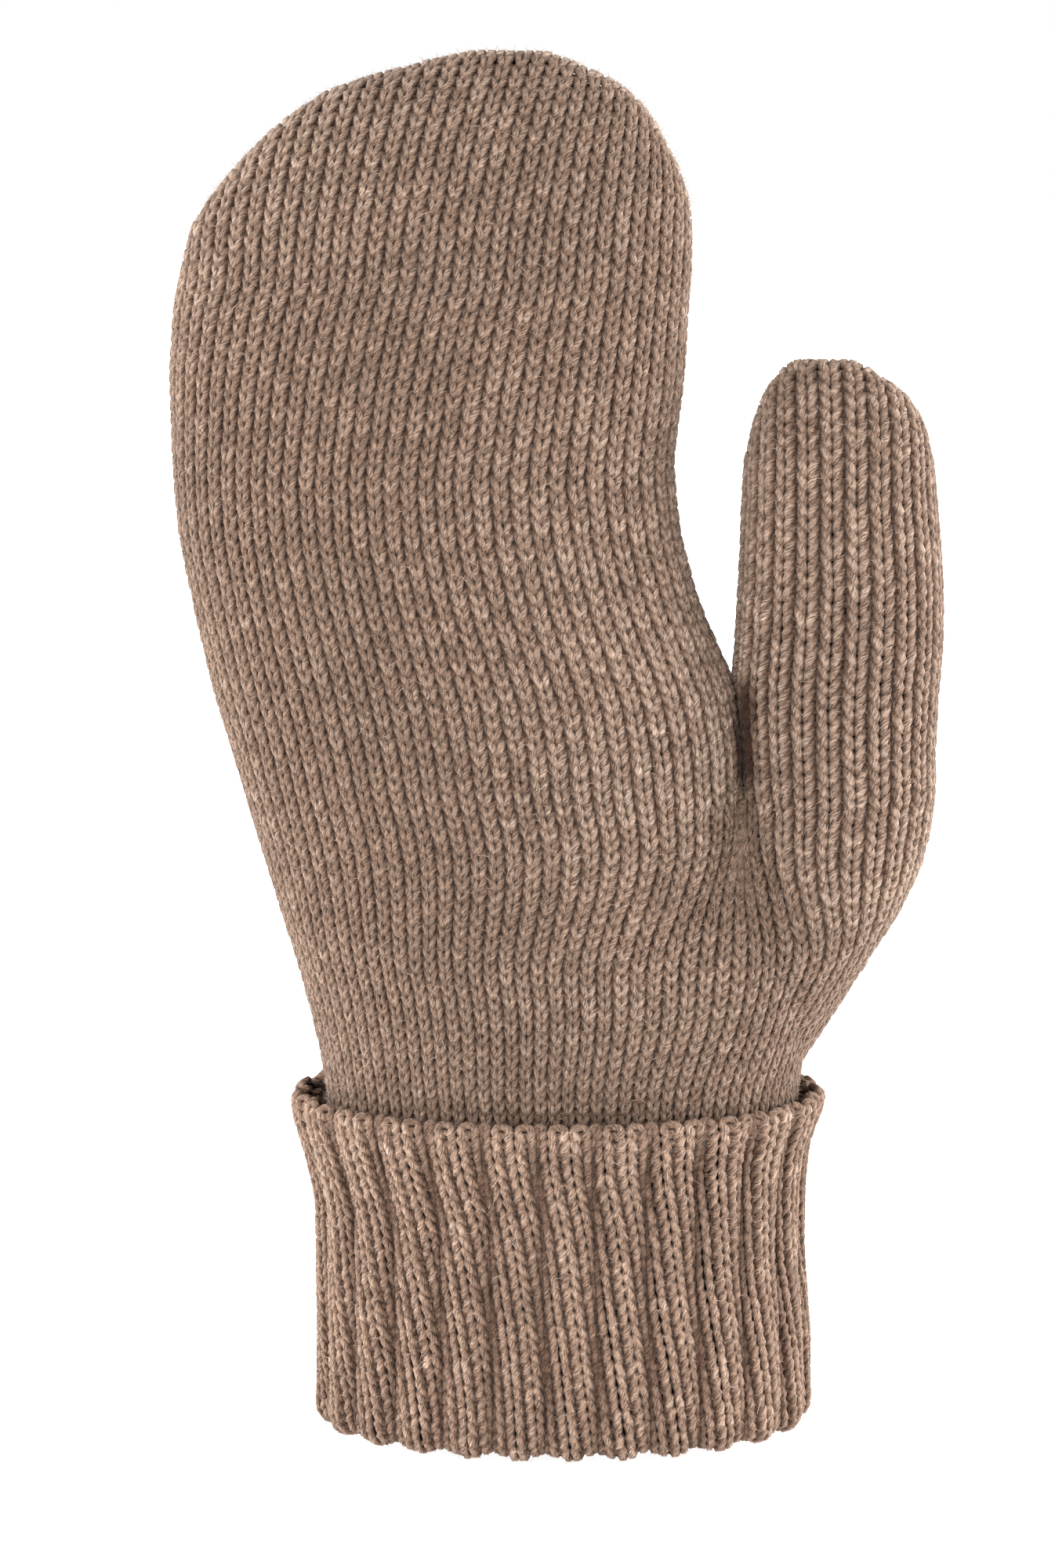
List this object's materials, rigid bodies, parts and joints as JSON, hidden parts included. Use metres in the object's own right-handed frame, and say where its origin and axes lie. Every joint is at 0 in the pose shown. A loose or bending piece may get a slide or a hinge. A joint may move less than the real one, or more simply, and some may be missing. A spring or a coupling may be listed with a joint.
{
  "type": "knitted mitten",
  "caption": "Knitted wool mitten with a turned-up ribbed cuff, one pouch for the fingers and a separate thumb, standing on its cuff",
  "frame": {"origin": "centre of the mitten's footprint, on the surface it stands on, below the middle of its width and depth", "axes": "+Z from the cuff to the fingertips, +X towards the thumb, -Y out of the palm side"},
  "size_m": [0.1416, 0.064, 0.258],
  "materials": {
    "knit_wool": "plain knit of two-ply wool, taupe-brown melange, slightly fuzzy",
    "rib_wool": "two-by-two rib of the same wool",
    "seam_wool": "linked seam and cast-on edge in the same yarn"
  },
  "bodies": {
    "cuff": {"cuff_inner": "rib_wool", "cuff_fold": "rib_wool", "cuff_turnup": "rib_wool", "cuff_edge": "seam_wool"},
    "palm": {"wrist_band": "knit_wool", "gusset_shell": "knit_wool", "palm_shell": "knit_wool"},
    "fingers": {"knuckle_band": "knit_wool", "finger_shell": "knit_wool"},
    "fingertips": {"curl_band": "knit_wool", "tip_shell": "knit_wool", "tip_seam": "seam_wool"},
    "thumb": {"thumb_base": "knit_wool", "thumb_shell": "knit_wool"},
    "thumb_end": {"thumb_bend": "knit_wool", "thumb_cap": "knit_wool", "thumb_seam": "seam_wool"}
  },
  "joints": [
    {"name": "wrist_flex", "type": "hinge", "parent": "cuff", "child": "palm", "pos_m": [0, 0, 0.075], "axis": [1, 0, 0], "range_deg": [-25, 30], "deforming": ["wrist_band"]},
    {"name": "knuckle_flex", "type": "hinge", "parent": "palm", "child": "fingers", "pos_m": [0, -0.008, 0.16], "axis": [1, 0, 0], "range_deg": [-10, 50], "deforming": ["knuckle_band"]},
    {"name": "finger_curl", "type": "hinge", "parent": "fingers", "child": "fingertips", "pos_m": [0, -0.006, 0.205], "axis": [1, 0, 0], "range_deg": [0, 45], "deforming": ["curl_band"]},
    {"name": "thumb_spread", "type": "hinge", "parent": "palm", "child": "thumb", "pos_m": [0.0522, 0, 0.125], "axis": [0, 1, 0], "range_deg": [0, 25], "deforming": ["thumb_base"]},
    {"name": "thumb_flex", "type": "hinge", "parent": "thumb", "child": "thumb_end", "pos_m": [0.0522, -0.004, 0.1645], "axis": [1, 0, 0], "range_deg": [0, 40], "deforming": ["thumb_bend"]}
  ]
}
